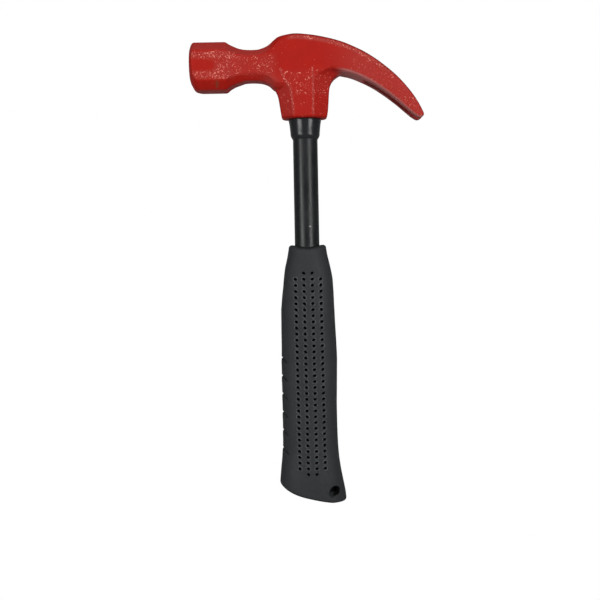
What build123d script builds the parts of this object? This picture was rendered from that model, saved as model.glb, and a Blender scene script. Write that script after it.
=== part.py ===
"""Claw hammer: forged head, tubular steel handle, moulded collar and moulded rubber grip.

Millimetres. The handle's centre line is the Z axis with the head at the top, the striking face looks
along -X, the claw points along +X, and the two cheeks of the head look along +Y and -Y. The origin is
on the handle's centre line, level with the lowest point of the butt.
"""
import os

from build123d import *

# Poll, the striking end: an octagonal bar with a round face on its end.
POLL_AXIS_Z = 263.95
POLL_HALF_HEIGHT = 14.65
POLL_HALF_WIDTH = 13.8
POLL_CORNER = 5.6
POLL_SHOULDER_X = -47.8
FACE_X = -69.3
FACE_Z = 265.8
FACE_RADIUS = 9.6

# Neck between the poll and the cheeks.
NECK_HALF_HEIGHT = 9.35
NECK_HALF_WIDTH = 10.6
NECK_CORNER = 4.0

# Cheeks and claw.
CHEEK_HALF_WIDTH = 13.2
TIP_HALF_WIDTH = 10.4
CREST_Z = 282.5
TIP_X = 72.2
TIP_Z = 232.4
SLOT_ROOT_X = 38.5
SLOT_ROOT_RADIUS = 1.8
SLOT_MOUTH_HALF_WIDTH = 4.8

# Eye socket, the boss that takes the handle.
EYE_BOTTOM_Z = 231.8
EYE_BORE_RADIUS = 8.6

# Tube.
TUBE_RADIUS = 7.5
TUBE_WALL = 1.4
TUBE_BOTTOM_Z = 20.0
TUBE_TOP_Z = 280.0

# Collar under the eye, with a spigot that lines the eye.
COLLAR_BOTTOM_Z = 219.5
COLLAR_TOP_RADIUS = 9.95
COLLAR_BOTTOM_RADIUS = 8.85
SPIGOT_TOP_Z = 274.0

# Plugs.
EXPANDER_LENGTH = 24.0
END_PLUG_LENGTH = 14.0
END_PLUG_FLANGE = 2.0

# Grip.
GRIP_TOP_Z = 155.2
GRIP_HALF_THICKNESS = 12.6
AIR_HOLE_RADIUS = 0.85
AIR_HOLE_DEPTH = 2.2
AIR_COLUMN_PITCH = 5.08
AIR_ROWS = 33
AIR_BOTTOM_Z = 21.2
AIR_FIRST_STEP = 3.41
AIR_STEP_GROWTH = 0.0087
NOTCH_COUNT = 6
NOTCH_PITCH = 10.95
NOTCH_BOTTOM_Z = 31.3
NOTCH_X = -15.9
NOTCH_SLOPE = 42.0
NOTCH_LENGTH = 5.6
NOTCH_WIDTH = 1.0
HANG_HOLE_X = 13.9
HANG_HOLE_Z = 7.3
HANG_HOLE_RADIUS = 1.25
HANG_MOUTH_RADIUS = 2.9
HANG_MOUTH_FROM = 7.4
HANG_CONE_FROM = 6.2
HANG_FLARE_FROM = 10.5


def corner_cut_outline(half_u, half_v, corner, centre_v=0.0):
    """Corner points of a rectangle with its four corners cut off at 45 degrees."""
    points = []
    for su, sv, first_long in ((1, 1, True), (-1, 1, False), (-1, -1, True), (1, -1, False)):
        along_u = (su * (half_u - corner), centre_v + sv * half_v)
        along_v = (su * half_u, centre_v + sv * (half_v - corner))
        points += [along_v, along_u] if first_long else [along_u, along_v]
    return points


def section_across_x(x, half_width, half_height, corner, centre_z):
    """Octagonal section of the poll or neck, square to the X axis."""
    points = corner_cut_outline(half_width, half_height, corner, centre_z)
    return Face(Wire.make_polygon([(x, y, z) for y, z in points], close=True))


def make_poll():
    """Straight octagonal bar whose corners are turned down to the round striking face."""
    ends = [
        section_across_x(x, POLL_HALF_WIDTH, POLL_HALF_HEIGHT, POLL_CORNER, POLL_AXIS_Z)
        for x in (FACE_X, POLL_SHOULDER_X)
    ]
    bar = loft(ends, ruled=True)
    rounding = Spline((FACE_RADIUS, 0), (FACE_RADIUS + 2.4, 1.2), (FACE_RADIUS + 6.9, 4.5))
    rest = Polyline((FACE_RADIUS + 6.9, 4.5), (30.0, 14.0), (30.0, 40.0), (0, 40.0), (0, 0), (FACE_RADIUS, 0))
    turned = revolve(Plane.XZ * make_face([*rounding.edges(), *rest.edges()]), Axis.Z)
    return bar & (Pos(FACE_X, 0, FACE_Z) * Rot(0, 90, 0) * turned)


def make_neck():
    """Waist from the poll to the cheeks, drawn through octagons of changing size."""
    stations = (
        # x, half width, half height, corner, centre height
        (POLL_SHOULDER_X, POLL_HALF_WIDTH, POLL_HALF_HEIGHT, POLL_CORNER, POLL_AXIS_Z),
        (-43.2, 12.6, 12.1, 5.0, 264.2),
        (-38.0, 11.3, 10.05, 4.3, 264.25),
        (-32.5, NECK_HALF_WIDTH, NECK_HALF_HEIGHT, NECK_CORNER, 264.35),
        (-26.7, 10.8, 9.7, NECK_CORNER, 264.45),
        (-21.0, 11.8, 11.8, 4.4, 264.3),
        (-16.8, 12.7, 15.4, 5.0, 264.4),
        (-13.0, 13.0, 18.0, 5.4, 263.2),
    )
    sections = [section_across_x(*station) for station in stations]
    return loft(sections)


def make_cheek_and_claw():
    """Cheek block and curved claw: a side outline given thickness, tapering towards the tips."""
    crown = Spline(
        (-17.2, 279.6),
        (-5.0, CREST_Z),
        (6.5, 281.2),
        (18.6, 278.4),
        (30.5, 273.8),
        (42.4, 267.1),
        (54.3, 257.6),
        (63.3, 247.7),
        (TIP_X, TIP_Z),
        tangents=((1.0, 0.5), (0.42, -0.9)),
    )
    tip = Polyline((TIP_X, TIP_Z), (71.2, TIP_Z - 1.9), (69.2, TIP_Z - 1.8))
    underside = Spline(
        (69.2, TIP_Z - 1.8),
        (57.0, 240.1),
        (49.0, 246.6),
        (35.5, 254.7),
        (22.6, 259.1),
        tangents=((-0.7, 0.72), (-1.0, 0.04)),
    )
    closing = Polyline((22.6, 259.1), (9.0, 262.3), (-14.0, 260.4), (-17.2, 279.6))
    edges = [*crown.edges(), *tip.edges(), *underside.edges(), *closing.edges()]
    outline = Plane.XZ * make_face(edges)
    slab = extrude(outline, amount=CHEEK_HALF_WIDTH, both=True)
    top_edges = slab.edges().filter_by(lambda e: e.center().Z > 262 and e.length > 60)
    slab = fillet(top_edges, 2.2)
    plan = Polyline(
        (-30, -CHEEK_HALF_WIDTH),
        (18, -CHEEK_HALF_WIDTH),
        (TIP_X + 8, -TIP_HALF_WIDTH),
        (TIP_X + 8, TIP_HALF_WIDTH),
        (18, CHEEK_HALF_WIDTH),
        (-30, CHEEK_HALF_WIDTH),
        close=True,
    )
    keep = Pos(0, 0, 220) * extrude(make_face(plan), amount=80)
    return slab & keep


def make_nail_slot():
    """V-shaped slot between the two tines, round at its root and open at the tips."""
    mouth_x = TIP_X + 6
    wedge = Polyline(
        (SLOT_ROOT_X, -SLOT_ROOT_RADIUS),
        (mouth_x, -SLOT_MOUTH_HALF_WIDTH),
        (mouth_x, SLOT_MOUTH_HALF_WIDTH),
        (SLOT_ROOT_X, SLOT_ROOT_RADIUS),
        close=True,
    )
    profile = make_face(wedge) + Pos(SLOT_ROOT_X, 0) * Circle(SLOT_ROOT_RADIUS)
    return Pos(0, 0, 215) * extrude(profile, amount=80)


def make_eye_boss():
    """Socket below the cheeks: a block with broad cut corners that narrows slightly downwards."""
    levels = (
        # height, end towards the face, end towards the claw, half width, front flat from and to
        (EYE_BOTTOM_Z, -13.9, 13.4, 12.6, -6.8, 5.0),
        (EYE_BOTTOM_Z + 8.5, -15.25, 14.45, 12.9, -7.2, 5.1),
        (EYE_BOTTOM_Z + 14.3, -16.2, 14.9, 13.0, -7.7, 5.2),
        (EYE_BOTTOM_Z + 20.5, -20.0, 15.9, 13.1, -10.5, 5.4),
        (EYE_BOTTOM_Z + 23.6, -22.4, 17.9, 13.2, -12.3, 6.5),
        (EYE_BOTTOM_Z + 25.8, -23.0, 21.0, 13.2, -13.3, 9.0),
        (EYE_BOTTOM_Z + 29.0, -22.0, 27.0, 13.2, -14.4, 16.0),
    )
    sections = []
    for z, back, front, half, flat_from, flat_to in levels:
        side = 6.2
        points = [
            (flat_from, -half),
            (flat_to, -half),
            (front, -side),
            (front, side),
            (flat_to, half),
            (flat_from, half),
            (back, side),
            (back, -side),
        ]
        sections.append(Face(Wire.make_polygon([(x, y, z) for x, y in points], close=True)))
    socket = loft(sections[:3], ruled=True)
    bottom = socket.faces().sort_by(Axis.Z)[0]
    socket = fillet(bottom.edges(), 1.6)
    return socket + loft(sections[2:])


def make_claw_head():
    """Whole forged head with its nail slot and the bore for the handle."""
    head = make_poll() + make_neck() + make_cheek_and_claw() + make_eye_boss()
    head -= make_nail_slot()
    head -= round_bar(EYE_BORE_RADIUS, EYE_BOTTOM_Z - 20, CREST_Z + 20)
    return head


def round_bar(radius, bottom, top):
    """Round bar on the Z axis."""
    return Pos(0, 0, bottom) * extrude(Circle(radius), amount=top - bottom)


def make_handle_tube():
    """Steel tube with small bevels at both ends."""
    tube = round_bar(TUBE_RADIUS, TUBE_BOTTOM_Z, TUBE_TOP_Z)
    tube -= round_bar(TUBE_RADIUS - TUBE_WALL, TUBE_BOTTOM_Z, TUBE_TOP_Z)
    rims = tube.edges().filter_by(GeomType.CIRCLE).filter_by(lambda e: e.radius > TUBE_RADIUS - 0.1)
    return chamfer(rims, 0.4)


def make_neck_collar():
    """Turned shape: tapered skirt under the eye, and a thin spigot that lines the eye's bore."""
    lip = COLLAR_BOTTOM_Z + 2.3
    profile = Polyline(
        (TUBE_RADIUS, COLLAR_BOTTOM_Z),
        (TUBE_RADIUS + 0.35, COLLAR_BOTTOM_Z),
        (COLLAR_BOTTOM_RADIUS, lip),
        (COLLAR_TOP_RADIUS, EYE_BOTTOM_Z - 0.5),
        (COLLAR_TOP_RADIUS - 0.5, EYE_BOTTOM_Z),
        (EYE_BORE_RADIUS, EYE_BOTTOM_Z),
        (EYE_BORE_RADIUS, SPIGOT_TOP_Z),
        (TUBE_RADIUS, SPIGOT_TOP_Z),
        close=True,
    )
    return revolve(Plane.XZ * make_face(profile), Axis.Z)


def make_expander_plug():
    """Steel plug driven into the tube's top, domed on top and tapered at its leading end."""
    inner = TUBE_RADIUS - TUBE_WALL
    bottom = TUBE_TOP_Z - EXPANDER_LENGTH
    profile = Polyline(
        (0, bottom),
        (inner - 1.2, bottom),
        (inner, bottom + 5.0),
        (inner, TUBE_TOP_Z - 0.6),
        (inner - 0.6, TUBE_TOP_Z),
        (0, TUBE_TOP_Z),
        close=True,
    )
    return revolve(Plane.XZ * make_face(profile), Axis.Z)


def make_tube_end_plug():
    """Plastic plug in the tube's lower end, with a flange that closes it."""
    inner = TUBE_RADIUS - TUBE_WALL
    flange_bottom = TUBE_BOTTOM_Z - END_PLUG_FLANGE
    profile = Polyline(
        (0, flange_bottom),
        (TUBE_RADIUS - 0.4, flange_bottom),
        (TUBE_RADIUS, flange_bottom + 0.4),
        (TUBE_RADIUS, TUBE_BOTTOM_Z),
        (inner, TUBE_BOTTOM_Z),
        (inner, TUBE_BOTTOM_Z + END_PLUG_LENGTH - 2.0),
        (inner - 1.0, TUBE_BOTTOM_Z + END_PLUG_LENGTH),
        (0, TUBE_BOTTOM_Z + END_PLUG_LENGTH),
        close=True,
    )
    return revolve(Plane.XZ * make_face(profile), Axis.Z)


def make_grip_body():
    """Outer shape of the grip, drawn through ovals from below the butt to the shoulder."""
    stations = (
        # height, edge towards the face, edge towards the claw, half thickness
        (-6.0, -20.4, 22.4, 14.2),
        (12.0, -19.2, 19.3, 13.6),
        (30.0, -17.2, 16.9, 12.8),
        (58.0, -16.8, 16.4, GRIP_HALF_THICKNESS),
        (90.0, -16.8, 16.9, GRIP_HALF_THICKNESS),
        (117.0, -16.5, 15.9, 12.1),
        (136.0, -14.5, 15.0, 11.1),
        (GRIP_TOP_Z, -10.9, 11.1, 9.9),
    )
    sections = []
    for z, back, front, half in stations:
        oval = Ellipse((front - back) / 2, half)
        sections.append(Pos((front + back) / 2, 0, z) * oval)
    body = loft(sections)
    top = body.faces().sort_by(Axis.Z)[-1]
    return fillet(top.edges(), 1.8)


def make_butt_keep():
    """Slab that gives the butt its slanting, slightly bulging end as seen from the side."""
    end = Spline(
        (-30.0, 17.6),
        (-19.2, 10.4),
        (-10.5, 5.6),
        (-0.9, 2.8),
        (8.9, 0.7),
        (15.5, 0.0),
        (30.0, 2.6),
    )
    frame = Polyline((30.0, 2.6), (30.0, 170.0), (-30.0, 170.0), (-30.0, 17.6))
    side_plane = Plane(origin=(0, 30, 0), x_dir=(1, 0, 0), z_dir=(0, -1, 0))
    outline = side_plane * make_face([*end.edges(), *frame.edges()])
    return extrude(outline, amount=60)


def air_hole_places():
    """Centres of the blind air holes on one side.

    There are four columns, the middle two one hole longer at each end. The steps grow slowly upwards.
    """
    places = []
    for column in range(4):
        extra = 1 if column in (1, 2) else 0
        for row in range(-extra, AIR_ROWS + extra):
            z = AIR_BOTTOM_Z + row * AIR_FIRST_STEP + row * (row - 1) / 2 * AIR_STEP_GROWTH
            middle = 0.8 - 0.0065 * (z - AIR_BOTTOM_Z)
            places.append((middle + (column - 1.5) * AIR_COLUMN_PITCH, z))
    return places


def air_holes():
    """Blind round holes on both broad sides, drilled down to one common level on each side."""
    floor = GRIP_HALF_THICKNESS - AIR_HOLE_DEPTH
    drills = []
    for x, z in air_hole_places():
        for side in (1, -1):
            start = Plane(origin=(x, side * floor, z), z_dir=(0, side, 0))
            drills.append(Solid.make_cylinder(AIR_HOLE_RADIUS, 8.0, start))
    return drills


def make_hanging_hole():
    """Cord hole through the butt's corner: narrow in the middle, with a wide, slightly flared well on each side."""
    flare_radius = HANG_MOUTH_RADIUS + 4.0
    profile = Polyline(
        (0, -HANG_FLARE_FROM - 8.0),
        (flare_radius, -HANG_FLARE_FROM - 8.0),
        (HANG_MOUTH_RADIUS, -HANG_FLARE_FROM),
        (HANG_MOUTH_RADIUS, -HANG_MOUTH_FROM),
        (HANG_HOLE_RADIUS, -HANG_CONE_FROM),
        (HANG_HOLE_RADIUS, HANG_CONE_FROM),
        (HANG_MOUTH_RADIUS, HANG_MOUTH_FROM),
        (HANG_MOUTH_RADIUS, HANG_FLARE_FROM),
        (flare_radius, HANG_FLARE_FROM + 8.0),
        (0, HANG_FLARE_FROM + 8.0),
        close=True,
    )
    drill = revolve(Plane.XZ * make_face(profile), Axis.Z)
    return Pos(HANG_HOLE_X, 0, HANG_HOLE_Z) * Rot(90, 0, 0) * drill


def make_grip():
    """Rubber sleeve with closed butt, blind air holes, finger notches and a hanging hole."""
    body = make_grip_body() & make_butt_keep()
    end_face = body.faces().sort_by(Axis.Z)[0]
    body = fillet(end_face.edges(), 1.6)
    body -= round_bar(TUBE_RADIUS, TUBE_BOTTOM_Z - END_PLUG_FLANGE, GRIP_TOP_Z + 5)
    body -= make_hanging_hole()
    for number in range(NOTCH_COUNT):
        level = NOTCH_BOTTOM_Z + number * NOTCH_PITCH
        slit = Pos(NOTCH_X, 0, level) * Rot(0, NOTCH_SLOPE, 0) * Box(NOTCH_LENGTH, 40.0, NOTCH_WIDTH)
        body -= slit
    return body - air_holes()


def main():
    """Makes every piece and writes it as its own STEP file."""
    os.makedirs("parts", exist_ok=True)
    makers = {
        "claw_head": make_claw_head,
        "neck_collar": make_neck_collar,
        "handle_tube": make_handle_tube,
        "expander_plug": make_expander_plug,
        "tube_end_plug": make_tube_end_plug,
        "grip": make_grip,
    }
    for name, maker in makers.items():
        shape = maker()
        shape.label = name
        export_step(shape, f"parts/{name}.step")
        print(name, len(shape.solids()), round(shape.volume), shape.bounding_box())


main()
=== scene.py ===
import math

import bpy
import numpy as np
from mathutils import Matrix, Vector


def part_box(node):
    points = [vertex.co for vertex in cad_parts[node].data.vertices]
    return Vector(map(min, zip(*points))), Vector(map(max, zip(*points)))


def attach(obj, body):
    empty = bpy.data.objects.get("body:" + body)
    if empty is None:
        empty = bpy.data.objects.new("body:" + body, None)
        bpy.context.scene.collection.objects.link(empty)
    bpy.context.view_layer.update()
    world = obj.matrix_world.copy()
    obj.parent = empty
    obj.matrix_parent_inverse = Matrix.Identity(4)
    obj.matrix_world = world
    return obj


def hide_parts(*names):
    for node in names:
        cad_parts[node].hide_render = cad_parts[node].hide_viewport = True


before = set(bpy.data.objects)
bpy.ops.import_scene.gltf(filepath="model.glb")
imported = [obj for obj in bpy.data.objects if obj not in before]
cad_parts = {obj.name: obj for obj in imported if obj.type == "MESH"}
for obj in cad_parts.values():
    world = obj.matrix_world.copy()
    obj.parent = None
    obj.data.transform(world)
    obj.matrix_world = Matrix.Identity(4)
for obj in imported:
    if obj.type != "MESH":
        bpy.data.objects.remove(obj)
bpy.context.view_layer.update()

bl_info = {
    "name": "Claw Hammer",
    "version": (1, 0, 0),
    "blender": (4, 5, 0),
    "location": "View3D > Sidebar > Claw Hammer",
    "description": "Builds a steel-handled claw hammer piece by piece",
    "category": "Add Mesh",
}

MM = 0.001


def span(node, axis):
    """Lowest and highest place of a CAD node along an axis (0, 1 or 2), in millimetres, to a hundredth."""
    return tuple(round(corner[axis] / MM, 2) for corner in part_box(node))


FACE_X, CLAW_TIP_X = span("claw_head", 0)
TUBE_BOTTOM, TUBE_TOP = span("handle_tube", 2)
COLLAR_BOTTOM, COLLAR_TOP = span("neck_collar", 2)
EXPANDER_BOTTOM, EXPANDER_TOP = span("expander_plug", 2)
PLUG_BOTTOM, PLUG_TOP = span("tube_end_plug", 2)
GRIP_TOP = span("grip", 2)[1]
TUBE_RADIUS = 7.5
EYE_RADIUS = 8.6
EYE_BOTTOM = 231.8
BORE_RADIUS = 6.1  # of the tube, where the plugs fit


# ---------------------------------------------------------------- curves and surfaces

def smooth_through(at, knots, values):
    """Smooth curve through knots, by a Hermite cubic between each pair.

    The slope at an inner knot is the harmonic mean of the slopes on its two sides, or 0 where their signs
    differ, so the curve never overshoots its knots.
    """
    knots = np.asarray(knots, float)
    values = np.asarray(values, float)
    steps = np.diff(knots)
    slopes = np.diff(values) / steps
    inner = np.where(
        slopes[:-1] * slopes[1:] > 0,
        2 * slopes[:-1] * slopes[1:] / (slopes[:-1] + slopes[1:] + 1e-30),
        0.0,
    )
    tangent = np.concatenate([[slopes[0]], inner, [slopes[-1]]])
    at = np.clip(at, knots[0], knots[-1])
    i = np.clip(np.searchsorted(knots, at, side="right") - 1, 0, len(knots) - 2)
    h = steps[i]
    t = (at - knots[i]) / h
    return (
        (2 * t**3 - 3 * t**2 + 1) * values[i]
        + (t**3 - 2 * t**2 + t) * h * tangent[i]
        + (-2 * t**3 + 3 * t**2) * values[i + 1]
        + (t**3 - t**2) * h * tangent[i + 1]
    )


def table_through(at, knots, rows):
    """smooth_through for each column of rows."""
    rows = np.asarray(rows, float)
    return np.stack([smooth_through(at, knots, rows[:, k]) for k in range(rows.shape[1])], axis=1)


def path_through(at, points):
    """Smooth path through points, by Hermite cubics; at runs from 0 to 1 by chord length.

    The slope at an inner point is the mean of its two chords' slopes, each weighted by the other's length.
    """
    points = np.asarray(points, float)
    chord = np.concatenate([[0], np.cumsum(np.linalg.norm(np.diff(points, axis=0), axis=1))])
    knots = chord / chord[-1]
    width = np.diff(knots)
    slopes = np.diff(points, axis=0) / width[:, None]
    weighted = slopes[:-1] * width[1:, None] + slopes[1:] * width[:-1, None]
    inner = weighted / (width[1:] + width[:-1])[:, None]
    tangent = np.concatenate([[2 * slopes[0] - inner[0]], inner, [2 * slopes[-1] - inner[-1]]])
    i = np.clip(np.searchsorted(knots, at, side="right") - 1, 0, len(knots) - 2)
    h = width[i][:, None]
    t = ((at - knots[i]) / width[i])[:, None]
    return (
        (2 * t**3 - 3 * t**2 + 1) * points[i]
        + (t**3 - 2 * t**2 + t) * h * tangent[i]
        + (-2 * t**3 + 3 * t**2) * points[i + 1]
        + (t**3 - t**2) * h * tangent[i + 1]
    )


def angles_round(count):
    """count angles, evenly spaced round a full turn."""
    return np.arange(count) * (2 * math.pi / count)


def between(value, low, high, blur):
    """1 inside the range, 0 outside it, with smooth ends as wide as blur."""
    rise = np.clip((value - low) / blur + 0.5, 0, 1)
    fall = np.clip((high - value) / blur + 0.5, 0, 1)
    return rise * rise * (3 - 2 * rise) * fall * fall * (3 - 2 * fall)


def bell(offset, width):
    """1 where offset is 0, falling off on both sides as exp(-(offset / width) squared)."""
    return np.exp(-((offset / width) ** 2))


def above(value, start, ramp):
    """0 up to start, rising evenly to 1 over ramp."""
    return np.clip((value - start) / ramp, 0, 1)


def point_values(items, key):
    """Three rows of numbers, one for each axis, read from a mesh's points or normals."""
    values = np.empty(len(items) * 3)
    items.foreach_get(key, values)
    return values.reshape(-1, 3).T


def soft_outline(angles, normals, reach, sharpness):
    """Radius of a rounded polygon in each direction.

    The polygon is the overlap of half-planes, each given by its outward normal and its distance from the
    centre. The radius r in direction u solves: the sum of (max(0, n.u) r / d) to the power sharpness is 1.
    """
    towards = np.stack([np.cos(angles), np.sin(angles)])
    facing = np.maximum(np.einsum("skc,ca->ska", normals, towards), 0.0)
    total = np.sum((facing / reach[:, :, None]) ** sharpness, axis=1)
    return total ** (-1.0 / sharpness)


def octagon_planes(half_u, half_v, corner):
    """Normals and distances of the eight sides of a rectangle whose corners are cut at 45 degrees."""
    count = len(half_u)
    turn = np.arange(8) * math.pi / 4
    normals = np.tile(np.stack([np.cos(turn), np.sin(turn)], axis=1), (count, 1, 1))
    cut = (half_u + half_v - corner) / math.sqrt(2)
    reach = np.stack([half_u, cut, half_v, cut] * 2, axis=1)
    return normals, reach


def skin(rings):
    """Closed skin over rings (sections, points round, 3): quads between rings and a fan on each end."""
    sections, count, _ = rings.shape
    ends = rings[[0, -1]].mean(axis=1)
    vertices = np.concatenate([rings.reshape(-1, 3), ends])
    a = np.arange(count)
    b = (a + 1) % count
    rows = (np.arange(sections - 1) * count)[:, None]
    quads = np.stack([rows + a, rows + b, rows + count + b, rows + count + a], axis=-1).reshape(-1, 4)
    first = sections * count
    last_row = (sections - 1) * count
    fan_start = np.stack([np.full(count, first), b, a], axis=1)
    fan_end = np.stack([np.full(count, first + 1), last_row + a, last_row + b], axis=1)
    return vertices, quads.tolist() + fan_start.tolist() + fan_end.tolist()


def join_skins(parts):
    """Several (vertices, faces) shells as one list of vertices and faces."""
    vertices, faces, offset = [], [], 0
    for v, f in parts:
        vertices.append(v)
        faces += [[i + offset for i in face] for face in f]
        offset += len(v)
    return np.concatenate(vertices), faces


def ring_skin(rings):
    """Ring-shaped skin: quads between rings, and the last ring joins back to the first."""
    sections, count, _ = rings.shape
    a = np.arange(count)
    b = (a + 1) % count
    rows = (np.arange(sections) * count)[:, None]
    following = (np.roll(np.arange(sections), -1) * count)[:, None]
    quads = np.stack([rows + a, rows + b, following + b, following + a], axis=-1).reshape(-1, 4)
    return rings.reshape(-1, 3), quads.tolist()


def turned(profile, count=96):
    """Surface of revolution about Z: each (radius, height) of the profile becomes a circle of points."""
    profile = np.asarray(profile, float)
    turn = angles_round(count)
    x = profile[:, :1] * np.cos(turn)
    y = profile[:, :1] * np.sin(turn)
    z = np.repeat(profile[:, 1:2], count, axis=1)
    return np.stack([x, y, z], axis=-1)


def tilted_oval(long, short, lean, turn):
    """Points round an ellipse with half axes long and short, turned by lean: a rotation of (cos, sin)."""
    along, across = long * np.cos(turn), short * np.sin(turn)
    c, s = math.cos(lean), math.sin(lean)
    return along * c - across * s, along * s + across * c


def new_object(name, shape):
    """Mesh object from (vertices in millimetres, faces)."""
    vertices, faces = shape
    mesh = bpy.data.meshes.new(name)
    mesh.from_pydata((vertices * MM).tolist(), [], faces)
    mesh.validate()
    obj = bpy.data.objects.new(name, mesh)
    bpy.context.scene.collection.objects.link(obj)
    return obj


def settle(obj):
    """Replaces obj's mesh with what its modifiers make of it."""
    graph = bpy.context.evaluated_depsgraph_get()
    mesh = bpy.data.meshes.new_from_object(obj.evaluated_get(graph), depsgraph=graph)
    old = obj.data
    obj.modifiers.clear()
    obj.data = mesh
    bpy.data.meshes.remove(old)
    mesh.name = obj.name
    return obj


def carve(obj, cutter_shape, name):
    """Cuts a closed shape out of obj with an exact boolean."""
    cutter = new_object(name, cutter_shape)
    modifier = obj.modifiers.new(name, "BOOLEAN")
    modifier.operation = "DIFFERENCE"
    modifier.solver = "EXACT"
    modifier.object = cutter
    settle(obj)
    bpy.data.objects.remove(cutter)
    return obj


def shade(obj, limit_degrees):
    """Smooth shading, with edges sharper than the limit kept crisp."""
    mesh = obj.data
    mesh.shade_smooth()
    mesh.set_sharp_from_angle(angle=math.radians(limit_degrees))
    return obj


# ---------------------------------------------------------------- sizes and colours

COLOUR = {"subtype": "COLOR", "size": 4, "min": 0, "max": 1}


class HammerHeadSizes(bpy.types.PropertyGroup):
    """Sizes and colours of the forged head"""

    face_x: bpy.props.FloatProperty(
        name="Face position", description="X of the striking face, mm", default=FACE_X
    )
    face_z: bpy.props.FloatProperty(
        name="Face height", description="Height of the striking face's centre, mm", default=265.8
    )
    face_radius: bpy.props.FloatProperty(
        name="Face radius", description="Radius of the flat of the striking face, mm", default=9.6
    )
    eye_bottom: bpy.props.FloatProperty(
        name="Socket bottom", description="Height of the socket's lower end, mm", default=EYE_BOTTOM
    )
    slot_root_x: bpy.props.FloatProperty(
        name="Slot root", description="X of the centre of the nail slot's round root, mm", default=38.5
    )
    slot_root_radius: bpy.props.FloatProperty(
        name="Slot root radius", description="Radius of the nail slot's round root, mm", default=1.8
    )
    slot_mouth: bpy.props.FloatProperty(
        name="Slot mouth", description="Half width of the nail slot beyond the claw's tips, mm", default=4.8
    )
    voxel: bpy.props.FloatProperty(
        name="Skin grid", description="Spacing of the head's skin, mm", default=0.45, min=0.3, max=2.0
    )
    soften: bpy.props.IntProperty(
        name="Forged rounding", description="How often the skin is relaxed", default=3, min=0, max=40
    )
    colour: bpy.props.FloatVectorProperty(
        name="Head paint", description="Red paint of the head", default=(0.425, 0.0105, 0.0050, 1.0), **COLOUR
    )
    # Painted sheen: a paler, pinker red laid where the paint would catch a faint reflection.
    sheen_tint: bpy.props.FloatVectorProperty(
        name="Head haze", description="Paler, fine-grained red", default=(0.40, 0.046, 0.038, 1.0), **COLOUR
    )
    # Painted highlight: the colour of the glints on the paint's grains.
    glint: bpy.props.FloatVectorProperty(
        name="Head glint", description="Grain glints in the paint", default=(0.88, 0.27, 0.21, 1.0), **COLOUR
    )
    rub: bpy.props.FloatVectorProperty(
        name="Rub", description="Brown rub on the poll's bevel", default=(0.22, 0.045, 0.022, 1.0), **COLOUR
    )


class HandleSizes(bpy.types.PropertyGroup):
    """Sizes of the tube, and colours of the tube, collar and plugs"""

    tube_radius: bpy.props.FloatProperty(
        name="Tube radius", description="Outer radius of the handle tube, mm", default=TUBE_RADIUS
    )
    tube_wall: bpy.props.FloatProperty(
        name="Tube wall", description="Wall of the handle tube, mm", default=1.4
    )
    tube_bottom: bpy.props.FloatProperty(
        name="Tube bottom", description="Height of the tube's lower end, mm", default=TUBE_BOTTOM
    )
    tube_top: bpy.props.FloatProperty(
        name="Tube top", description="Height of the tube's upper end, mm", default=TUBE_TOP
    )
    tube_colour: bpy.props.FloatVectorProperty(
        name="Tube paint", description="Satin black of the tube", default=(0.006, 0.007, 0.008, 1.0), **COLOUR
    )
    collar_colour: bpy.props.FloatVectorProperty(
        name="Collar plastic", description="Gloss black collar", default=(0.010, 0.011, 0.013, 1.0), **COLOUR
    )
    steel_colour: bpy.props.FloatVectorProperty(
        name="Plug steel", description="Bare steel of the plug", default=(0.45, 0.44, 0.42, 1.0), **COLOUR
    )
    plug_colour: bpy.props.FloatVectorProperty(
        name="End plug plastic", description="Dark lower plug", default=(0.03, 0.03, 0.03, 1.0), **COLOUR
    )


class GripSizes(bpy.types.PropertyGroup):
    """Sizes and colours of the rubber grip"""

    top: bpy.props.FloatProperty(
        name="Grip top", description="Height of the grip's shoulder, mm", default=GRIP_TOP
    )
    hole_radius: bpy.props.FloatProperty(
        name="Air hole radius", description="Radius of the blind air holes, mm", default=0.85
    )
    column_pitch: bpy.props.FloatProperty(
        name="Column pitch", description="Distance between columns of air holes, mm", default=5.08
    )
    rows: bpy.props.IntProperty(name="Rows", description="Air holes in an outer column", default=33)
    notch_depth: bpy.props.FloatProperty(
        name="Notch depth", description="Depth of the finger notches, mm", default=2.0
    )
    colour: bpy.props.FloatVectorProperty(
        name="Grip rubber", description="Charcoal rubber", default=(0.030, 0.033, 0.036, 1.0), **COLOUR
    )
    # Also the colour of the air hole rims, which are partly wear and partly painted highlight.
    dust: bpy.props.FloatVectorProperty(
        name="Grip dust", description="Worn and glinting edges and dust", default=(0.110, 0.122, 0.122, 1.0), **COLOUR
    )


class StageSizes(bpy.types.PropertyGroup):
    """Camera, light and paper"""

    distance: bpy.props.FloatProperty(
        name="Camera distance", description="From the camera to the hammer, mm", default=670.0
    )
    frame_width: bpy.props.FloatProperty(
        name="Framed width", description="Width of the view at the hammer, mm", default=366.0
    )
    height: bpy.props.FloatProperty(
        name="Camera height", description="Height of the camera, mm", default=154.3
    )
    side: bpy.props.FloatProperty(name="Camera side", description="X of the camera, mm", default=-4.38)
    drop: bpy.props.FloatProperty(
        name="Framing drop", description="How far the view's centre is under the camera, mm", default=32.6
    )
    tilt: bpy.props.FloatProperty(
        name="Camera roll", description="Roll of the camera", subtype="ANGLE", default=math.radians(1.05)
    )
    ambient: bpy.props.FloatProperty(
        name="Ambient light", description="Strength of the even light all round", default=0.16, min=0
    )
    backdrop: bpy.props.FloatProperty(
        name="Backdrop white", description="How bright the floor and backdrop look", default=1.0, min=0
    )
    paper: bpy.props.FloatProperty(
        name="Paper white", description="How much light the floor throws back", default=0.45, min=0, max=1
    )


# ---------------------------------------------------------------- head

ROUND = 144  # points round each section of the head
CRISP = 46.0  # sharpness of the forged edges
BULGE_CRISP = 40.0  # sharpness where the poll's corners meet the round face
POLL_ROUNDING = 6.0  # length of the rounding behind the striking face

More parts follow.
